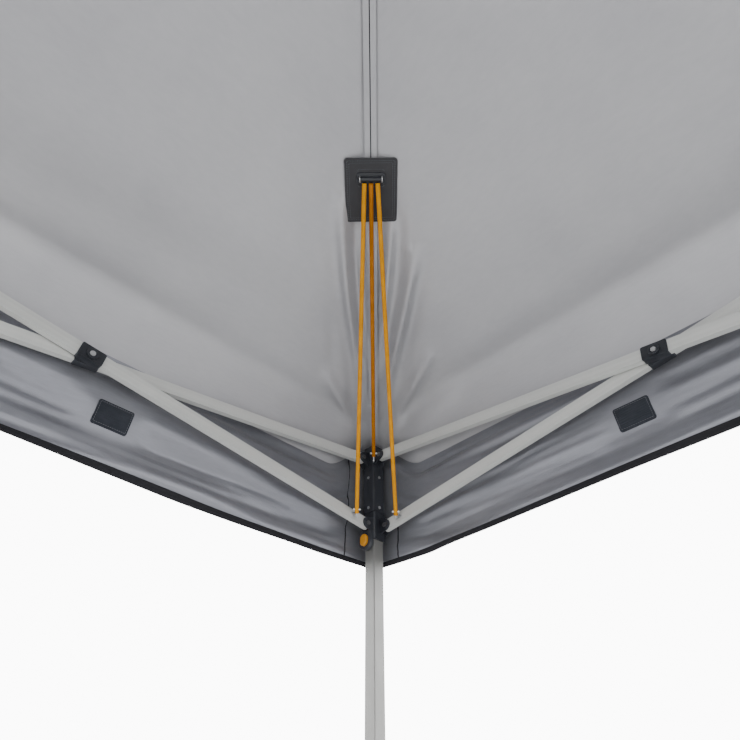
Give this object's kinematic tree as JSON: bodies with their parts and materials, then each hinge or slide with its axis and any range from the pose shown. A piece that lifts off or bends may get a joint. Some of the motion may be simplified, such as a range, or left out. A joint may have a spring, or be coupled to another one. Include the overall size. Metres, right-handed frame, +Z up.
{
  "type": "pop-up gazebo",
  "caption": "Square pop-up gazebo with a folding scissor frame on four telescopic legs, and a hipped fabric canopy with a deep valance.",
  "frame": {"origin": "on the ground, under the middle of the gazebo", "axes": "+Z up; the four sides lie along X and Y, the front side faces -Y"},
  "size_m": [3, 3, 2.68],
  "materials": {
    "canopy_fabric": "woven polyester, silver-grey coated inside, charcoal outside",
    "patch_webbing": "dark stitched webbing",
    "bungee": "amber woven sheath over rubber",
    "bar_steel": "grey powder coat, satin",
    "leg_steel": "light grey powder coat, satin",
    "black_plastic": "moulded nylon",
    "amber_plastic": "moulded, satin"
  },
  "bodies": {
    "upper_hub": {"upper_hub": "black_plastic", "canopy": "canopy_fabric", "hip_patches": "patch_webbing", "valance_pads": "patch_webbing", "bungee_cords": "bungee"},
    "mast": {"mast": "leg_steel", "mast_cap": "black_plastic"},
    "lower_hub": {"lower_hub": "black_plastic"},
    "front_truss_bar_from_hub": {"front_truss_bar_from_hub": "bar_steel"},
    "front_truss_bar_to_hub": {"front_truss_bar_to_hub": "bar_steel"},
    "front_upper_mid_joint": {"front_upper_mid_joint": "black_plastic"},
    "front_lower_mid_joint": {"front_lower_mid_joint": "black_plastic"},
    "front_bar_to_slider_a": {"front_bar_to_slider_a": "bar_steel"},
    "front_bar_to_leg_top_a": {"front_bar_to_leg_top_a": "bar_steel"},
    "front_bar_to_slider_b": {"front_bar_to_slider_b": "bar_steel"},
    "front_bar_to_leg_top_b": {"front_bar_to_leg_top_b": "bar_steel"},
    "right_truss_bar_from_hub": {"right_truss_bar_from_hub": "bar_steel"},
    "right_truss_bar_to_hub": {"right_truss_bar_to_hub": "bar_steel"},
    "right_upper_mid_joint": {"right_upper_mid_joint": "black_plastic"},
    "right_lower_mid_joint": {"right_lower_mid_joint": "black_plastic"},
    "right_bar_to_slider_a": {"right_bar_to_slider_a": "bar_steel"},
    "right_bar_to_leg_top_a": {"right_bar_to_leg_top_a": "bar_steel"},
    "right_bar_to_slider_b": {"right_bar_to_slider_b": "bar_steel"},
    "right_bar_to_leg_top_b": {"right_bar_to_leg_top_b": "bar_steel"},
    "back_truss_bar_from_hub": {"back_truss_bar_from_hub": "bar_steel"},
    "back_truss_bar_to_hub": {"back_truss_bar_to_hub": "bar_steel"},
    "back_upper_mid_joint": {"back_upper_mid_joint": "black_plastic"},
    "back_lower_mid_joint": {"back_lower_mid_joint": "black_plastic"},
    "back_bar_to_slider_a": {"back_bar_to_slider_a": "bar_steel"},
    "back_bar_to_leg_top_a": {"back_bar_to_leg_top_a": "bar_steel"},
    "back_bar_to_slider_b": {"back_bar_to_slider_b": "bar_steel"},
    "back_bar_to_leg_top_b": {"back_bar_to_leg_top_b": "bar_steel"},
    "left_truss_bar_from_hub": {"left_truss_bar_from_hub": "bar_steel"},
    "left_truss_bar_to_hub": {"left_truss_bar_to_hub": "bar_steel"},
    "left_upper_mid_joint": {"left_upper_mid_joint": "black_plastic"},
    "left_lower_mid_joint": {"left_lower_mid_joint": "black_plastic"},
    "left_bar_to_slider_a": {"left_bar_to_slider_a": "bar_steel"},
    "left_bar_to_leg_top_a": {"left_bar_to_leg_top_a": "bar_steel"},
    "left_bar_to_slider_b": {"left_bar_to_slider_b": "bar_steel"},
    "left_bar_to_leg_top_b": {"left_bar_to_leg_top_b": "bar_steel"},
    "front_right_leg": {"front_right_leg_tube": "leg_steel", "front_right_top_bracket": "black_plastic"},
    "front_right_lower_leg": {"front_right_lower_leg": "leg_steel"},
    "front_right_slider": {"front_right_slider": "black_plastic"},
    "front_right_latch_button": {"front_right_latch_button": "amber_plastic"},
    "back_right_leg": {"back_right_leg_tube": "leg_steel", "back_right_top_bracket": "black_plastic"},
    "back_right_lower_leg": {"back_right_lower_leg": "leg_steel"},
    "back_right_slider": {"back_right_slider": "black_plastic"},
    "back_right_latch_button": {"back_right_latch_button": "amber_plastic"},
    "back_left_leg": {"back_left_leg_tube": "leg_steel", "back_left_top_bracket": "black_plastic"},
    "back_left_lower_leg": {"back_left_lower_leg": "leg_steel"},
    "back_left_slider": {"back_left_slider": "black_plastic"},
    "back_left_latch_button": {"back_left_latch_button": "amber_plastic"},
    "front_left_leg": {"front_left_leg_tube": "leg_steel", "front_left_top_bracket": "black_plastic"},
    "front_left_lower_leg": {"front_left_lower_leg": "leg_steel"},
    "front_left_slider": {"front_left_slider": "black_plastic"},
    "front_left_latch_button": {"front_left_latch_button": "amber_plastic"}
  },
  "joints": [
    {"name": "frame_fold", "type": "hinge", "parent": "upper_hub", "child": "front_truss_bar_from_hub", "pos_m": [0, -0.036, 2.1], "axis": [1, 0, 0], "range_deg": [0, 80], "deforming": ["canopy", "hip_patches", "valance_pads", "bungee_cords"]},
    {"name": "front_truss_cross_pivot", "type": "hinge", "parent": "front_truss_bar_from_hub", "child": "front_truss_bar_to_hub", "pos_m": [0, -0.7335, 2.0075], "axis": [1, 0, 0], "range_deg": [-160, 0]},
    {"name": "front_upper_mid_pivot", "type": "hinge", "parent": "front_truss_bar_to_hub", "child": "front_upper_mid_joint", "pos_m": [0, -1.431, 2.1], "axis": [1, 0, 0], "range_deg": [0, 80]},
    {"name": "front_lower_mid_pivot", "type": "hinge", "parent": "front_truss_bar_from_hub", "child": "front_lower_mid_joint", "pos_m": [0, -1.431, 1.915], "axis": [1, 0, 0], "range_deg": [-80, 0]},
    {"name": "lower_hub_pivot", "type": "hinge", "parent": "front_truss_bar_to_hub", "child": "lower_hub", "pos_m": [0, -0.036, 1.915], "axis": [1, 0, 0], "range_deg": [0, 80]},
    {"name": "front_mid_pivot_a", "type": "hinge", "parent": "front_upper_mid_joint", "child": "front_bar_to_slider_a", "pos_m": [0.034, -1.465, 2.1], "axis": [0, 1, 0], "range_deg": [0, 80]},
    {"name": "front_side_cross_pivot_a", "type": "hinge", "parent": "front_bar_to_slider_a", "child": "front_bar_to_leg_top_a", "pos_m": [0.7315, -1.465, 2.0075], "axis": [0, 1, 0], "range_deg": [-160, 0]},
    {"name": "front_mid_pivot_b", "type": "hinge", "parent": "front_upper_mid_joint", "child": "front_bar_to_slider_b", "pos_m": [-0.034, -1.465, 2.1], "axis": [0, -1, 0], "range_deg": [0, 80]},
    {"name": "front_side_cross_pivot_b", "type": "hinge", "parent": "front_bar_to_slider_b", "child": "front_bar_to_leg_top_b", "pos_m": [-0.7315, -1.465, 2.0075], "axis": [0, -1, 0], "range_deg": [-160, 0]},
    {"name": "right_truss_hub_pivot", "type": "hinge", "parent": "upper_hub", "child": "right_truss_bar_from_hub", "pos_m": [0.036, 0, 2.1], "axis": [0, 1, 0], "range_deg": [0, 80]},
    {"name": "right_truss_cross_pivot", "type": "hinge", "parent": "right_truss_bar_from_hub", "child": "right_truss_bar_to_hub", "pos_m": [0.7335, 0, 2.0075], "axis": [0, 1, 0], "range_deg": [-160, 0]},
    {"name": "right_upper_mid_pivot", "type": "hinge", "parent": "right_truss_bar_to_hub", "child": "right_upper_mid_joint", "pos_m": [1.431, 0, 2.1], "axis": [0, 1, 0], "range_deg": [0, 80]},
    {"name": "right_lower_mid_pivot", "type": "hinge", "parent": "right_truss_bar_from_hub", "child": "right_lower_mid_joint", "pos_m": [1.431, 0, 1.915], "axis": [0, 1, 0], "range_deg": [-80, 0]},
    {"name": "right_mid_pivot_a", "type": "hinge", "parent": "right_upper_mid_joint", "child": "right_bar_to_slider_a", "pos_m": [1.465, 0.034, 2.1], "axis": [-1, 0, 0], "range_deg": [0, 80]},
    {"name": "right_side_cross_pivot_a", "type": "hinge", "parent": "right_bar_to_slider_a", "child": "right_bar_to_leg_top_a", "pos_m": [1.465, 0.7315, 2.0075], "axis": [-1, 0, 0], "range_deg": [-160, 0]},
    {"name": "right_mid_pivot_b", "type": "hinge", "parent": "right_upper_mid_joint", "child": "right_bar_to_slider_b", "pos_m": [1.465, -0.034, 2.1], "axis": [1, 0, 0], "range_deg": [0, 80]},
    {"name": "right_side_cross_pivot_b", "type": "hinge", "parent": "right_bar_to_slider_b", "child": "right_bar_to_leg_top_b", "pos_m": [1.465, -0.7315, 2.0075], "axis": [1, 0, 0], "range_deg": [-160, 0]},
    {"name": "back_truss_hub_pivot", "type": "hinge", "parent": "upper_hub", "child": "back_truss_bar_from_hub", "pos_m": [0, 0.036, 2.1], "axis": [-1, 0, 0], "range_deg": [0, 80]},
    {"name": "back_truss_cross_pivot", "type": "hinge", "parent": "back_truss_bar_from_hub", "child": "back_truss_bar_to_hub", "pos_m": [0, 0.7335, 2.0075], "axis": [-1, 0, 0], "range_deg": [-160, 0]},
    {"name": "back_upper_mid_pivot", "type": "hinge", "parent": "back_truss_bar_to_hub", "child": "back_upper_mid_joint", "pos_m": [0, 1.431, 2.1], "axis": [-1, 0, 0], "range_deg": [0, 80]},
    {"name": "back_lower_mid_pivot", "type": "hinge", "parent": "back_truss_bar_from_hub", "child": "back_lower_mid_joint", "pos_m": [0, 1.431, 1.915], "axis": [-1, 0, 0], "range_deg": [-80, 0]},
    {"name": "back_mid_pivot_a", "type": "hinge", "parent": "back_upper_mid_joint", "child": "back_bar_to_slider_a", "pos_m": [-0.034, 1.465, 2.1], "axis": [0, -1, 0], "range_deg": [0, 80]},
    {"name": "back_side_cross_pivot_a", "type": "hinge", "parent": "back_bar_to_slider_a", "child": "back_bar_to_leg_top_a", "pos_m": [-0.7315, 1.465, 2.0075], "axis": [0, -1, 0], "range_deg": [-160, 0]},
    {"name": "back_mid_pivot_b", "type": "hinge", "parent": "back_upper_mid_joint", "child": "back_bar_to_slider_b", "pos_m": [0.034, 1.465, 2.1], "axis": [0, 1, 0], "range_deg": [0, 80]},
    {"name": "back_side_cross_pivot_b", "type": "hinge", "parent": "back_bar_to_slider_b", "child": "back_bar_to_leg_top_b", "pos_m": [0.7315, 1.465, 2.0075], "axis": [0, 1, 0], "range_deg": [-160, 0]},
    {"name": "left_truss_hub_pivot", "type": "hinge", "parent": "upper_hub", "child": "left_truss_bar_from_hub", "pos_m": [-0.036, 0, 2.1], "axis": [0, -1, 0], "range_deg": [0, 80]},
    {"name": "left_truss_cross_pivot", "type": "hinge", "parent": "left_truss_bar_from_hub", "child": "left_truss_bar_to_hub", "pos_m": [-0.7335, 0, 2.0075], "axis": [0, -1, 0], "range_deg": [-160, 0]},
    {"name": "left_upper_mid_pivot", "type": "hinge", "parent": "left_truss_bar_to_hub", "child": "left_upper_mid_joint", "pos_m": [-1.431, 0, 2.1], "axis": [0, -1, 0], "range_deg": [0, 80]},
    {"name": "left_lower_mid_pivot", "type": "hinge", "parent": "left_truss_bar_from_hub", "child": "left_lower_mid_joint", "pos_m": [-1.431, 0, 1.915], "axis": [0, -1, 0], "range_deg": [-80, 0]},
    {"name": "left_mid_pivot_a", "type": "hinge", "parent": "left_upper_mid_joint", "child": "left_bar_to_slider_a", "pos_m": [-1.465, -0.034, 2.1], "axis": [1, 0, 0], "range_deg": [0, 80]},
    {"name": "left_side_cross_pivot_a", "type": "hinge", "parent": "left_bar_to_slider_a", "child": "left_bar_to_leg_top_a", "pos_m": [-1.465, -0.7315, 2.0075], "axis": [1, 0, 0], "range_deg": [-160, 0]},
    {"name": "left_mid_pivot_b", "type": "hinge", "parent": "left_upper_mid_joint", "child": "left_bar_to_slider_b", "pos_m": [-1.465, 0.034, 2.1], "axis": [-1, 0, 0], "range_deg": [0, 80]},
    {"name": "left_side_cross_pivot_b", "type": "hinge", "parent": "left_bar_to_slider_b", "child": "left_bar_to_leg_top_b", "pos_m": [-1.465, 0.7315, 2.0075], "axis": [-1, 0, 0], "range_deg": [-160, 0]},
    {"name": "front_right_leg_top_pivot", "type": "hinge", "parent": "front_bar_to_leg_top_a", "child": "front_right_leg", "pos_m": [1.429, -1.465, 2.1], "axis": [0, 1, 0], "range_deg": [0, 80]},
    {"name": "front_right_slider_pivot", "type": "hinge", "parent": "front_bar_to_slider_a", "child": "front_right_slider", "pos_m": [1.429, -1.465, 1.915], "axis": [0, 1, 0], "range_deg": [-80, 0]},
    {"name": "front_right_leg_extension", "type": "slide", "parent": "front_right_leg", "child": "front_right_lower_leg", "axis": [0, 0, 1], "range_m": [0, 0.5]},
    {"name": "front_right_latch_press", "type": "slide", "parent": "front_right_slider", "child": "front_right_latch_button", "axis": [0, -1, 0], "range_m": [0, 0.004], "stiffness_N_per_m": 900},
    {"name": "back_right_leg_top_pivot", "type": "hinge", "parent": "right_bar_to_leg_top_a", "child": "back_right_leg", "pos_m": [1.465, 1.429, 2.1], "axis": [-1, 0, 0], "range_deg": [0, 80]},
    {"name": "back_right_slider_pivot", "type": "hinge", "parent": "right_bar_to_slider_a", "child": "back_right_slider", "pos_m": [1.465, 1.429, 1.915], "axis": [-1, 0, 0], "range_deg": [-80, 0]},
    {"name": "back_right_leg_extension", "type": "slide", "parent": "back_right_leg", "child": "back_right_lower_leg", "axis": [0, 0, 1], "range_m": [0, 0.5]},
    {"name": "back_right_latch_press", "type": "slide", "parent": "back_right_slider", "child": "back_right_latch_button", "axis": [1, 0, 0], "range_m": [0, 0.004], "stiffness_N_per_m": 900},
    {"name": "back_left_leg_top_pivot", "type": "hinge", "parent": "back_bar_to_leg_top_a", "child": "back_left_leg", "pos_m": [-1.429, 1.465, 2.1], "axis": [0, -1, 0], "range_deg": [0, 80]},
    {"name": "back_left_slider_pivot", "type": "hinge", "parent": "back_bar_to_slider_a", "child": "back_left_slider", "pos_m": [-1.429, 1.465, 1.915], "axis": [0, -1, 0], "range_deg": [-80, 0]},
    {"name": "back_left_leg_extension", "type": "slide", "parent": "back_left_leg", "child": "back_left_lower_leg", "axis": [0, 0, 1], "range_m": [0, 0.5]},
    {"name": "back_left_latch_press", "type": "slide", "parent": "back_left_slider", "child": "back_left_latch_button", "axis": [0, 1, 0], "range_m": [0, 0.004], "stiffness_N_per_m": 900},
    {"name": "front_left_leg_top_pivot", "type": "hinge", "parent": "left_bar_to_leg_top_a", "child": "front_left_leg", "pos_m": [-1.465, -1.429, 2.1], "axis": [1, 0, 0], "range_deg": [0, 80]},
    {"name": "front_left_slider_pivot", "type": "hinge", "parent": "left_bar_to_slider_a", "child": "front_left_slider", "pos_m": [-1.465, -1.429, 1.915], "axis": [1, 0, 0], "range_deg": [-80, 0]},
    {"name": "front_left_leg_extension", "type": "slide", "parent": "front_left_leg", "child": "front_left_lower_leg", "axis": [0, 0, 1], "range_m": [0, 0.5]},
    {"name": "front_left_latch_press", "type": "slide", "parent": "front_left_slider", "child": "front_left_latch_button", "axis": [-1, 0, 0], "range_m": [0, 0.004], "stiffness_N_per_m": 900},
    {"name": "mast_slide", "type": "slide", "parent": "upper_hub", "child": "mast", "axis": [0, 0, -1], "range_m": [0, 0.45]}
  ],
  "couplings": [
    {"joint": "front_truss_cross_pivot", "follows": "frame_fold", "ratio": -2},
    {"joint": "front_upper_mid_pivot", "follows": "frame_fold", "ratio": 1},
    {"joint": "front_lower_mid_pivot", "follows": "frame_fold", "ratio": -1},
    {"joint": "lower_hub_pivot", "follows": "frame_fold", "ratio": 1},
    {"joint": "front_mid_pivot_a", "follows": "frame_fold", "ratio": 1},
    {"joint": "front_side_cross_pivot_a", "follows": "frame_fold", "ratio": -2},
    {"joint": "front_mid_pivot_b", "follows": "frame_fold", "ratio": 1},
    {"joint": "front_side_cross_pivot_b", "follows": "frame_fold", "ratio": -2},
    {"joint": "right_truss_hub_pivot", "follows": "frame_fold", "ratio": 1},
    {"joint": "right_truss_cross_pivot", "follows": "frame_fold", "ratio": -2},
    {"joint": "right_upper_mid_pivot", "follows": "frame_fold", "ratio": 1},
    {"joint": "right_lower_mid_pivot", "follows": "frame_fold", "ratio": -1},
    {"joint": "right_mid_pivot_a", "follows": "frame_fold", "ratio": 1},
    {"joint": "right_side_cross_pivot_a", "follows": "frame_fold", "ratio": -2},
    {"joint": "right_mid_pivot_b", "follows": "frame_fold", "ratio": 1},
    {"joint": "right_side_cross_pivot_b", "follows": "frame_fold", "ratio": -2},
    {"joint": "back_truss_hub_pivot", "follows": "frame_fold", "ratio": 1},
    {"joint": "back_truss_cross_pivot", "follows": "frame_fold", "ratio": -2},
    {"joint": "back_upper_mid_pivot", "follows": "frame_fold", "ratio": 1},
    {"joint": "back_lower_mid_pivot", "follows": "frame_fold", "ratio": -1},
    {"joint": "back_mid_pivot_a", "follows": "frame_fold", "ratio": 1},
    {"joint": "back_side_cross_pivot_a", "follows": "frame_fold", "ratio": -2},
    {"joint": "back_mid_pivot_b", "follows": "frame_fold", "ratio": 1},
    {"joint": "back_side_cross_pivot_b", "follows": "frame_fold", "ratio": -2},
    {"joint": "left_truss_hub_pivot", "follows": "frame_fold", "ratio": 1},
    {"joint": "left_truss_cross_pivot", "follows": "frame_fold", "ratio": -2},
    {"joint": "left_upper_mid_pivot", "follows": "frame_fold", "ratio": 1},
    {"joint": "left_lower_mid_pivot", "follows": "frame_fold", "ratio": -1},
    {"joint": "left_mid_pivot_a", "follows": "frame_fold", "ratio": 1},
    {"joint": "left_side_cross_pivot_a", "follows": "frame_fold", "ratio": -2},
    {"joint": "left_mid_pivot_b", "follows": "frame_fold", "ratio": 1},
    {"joint": "left_side_cross_pivot_b", "follows": "frame_fold", "ratio": -2},
    {"joint": "front_right_leg_top_pivot", "follows": "frame_fold", "ratio": 1},
    {"joint": "front_right_slider_pivot", "follows": "frame_fold", "ratio": -1},
    {"joint": "back_right_leg_top_pivot", "follows": "frame_fold", "ratio": 1},
    {"joint": "back_right_slider_pivot", "follows": "frame_fold", "ratio": -1},
    {"joint": "back_left_leg_top_pivot", "follows": "frame_fold", "ratio": 1},
    {"joint": "back_left_slider_pivot", "follows": "frame_fold", "ratio": -1},
    {"joint": "front_left_leg_top_pivot", "follows": "frame_fold", "ratio": 1},
    {"joint": "front_left_slider_pivot", "follows": "frame_fold", "ratio": -1},
    {"joint": "mast_slide", "follows": "frame_fold", "m_per_rad": 0.3222}
  ]
}
